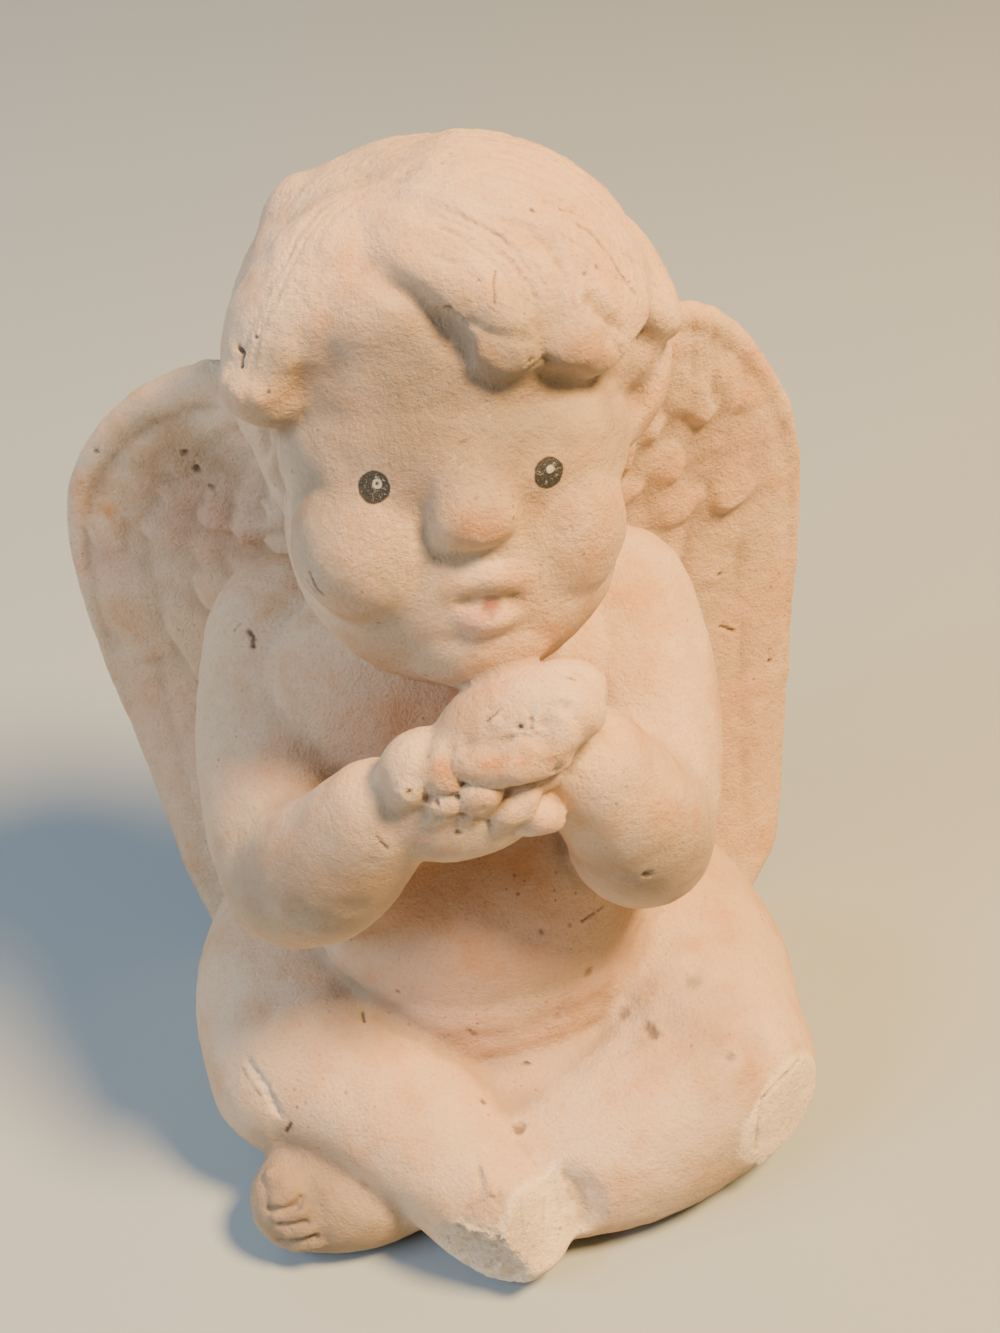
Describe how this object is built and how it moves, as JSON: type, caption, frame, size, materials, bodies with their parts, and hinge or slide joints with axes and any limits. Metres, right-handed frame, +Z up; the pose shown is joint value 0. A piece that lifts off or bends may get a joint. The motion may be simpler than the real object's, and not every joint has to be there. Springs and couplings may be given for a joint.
{
  "type": "angel figurine",
  "caption": "Seated winged cherub figurine cast in one piece, legs crossed and hands cupped under its chin, cut flat underneath to stand on a shelf.",
  "frame": {"origin": "middle of the bounding box in plan, on the underside that the figurine stands on", "axes": "+Z is up, the face looks along -Y and slightly up, and +X is the figurine's own left side"},
  "size_m": [0.0964, 0.078, 0.13],
  "materials": {
    "plaster": "matt chalky off-white coat, worn to peach and tan, with small pits, chips and specks; eyes dotted on in dark grey"
  },
  "bodies": {
    "root": {"angel_figurine": "plaster"}
  },
  "joints": []
}
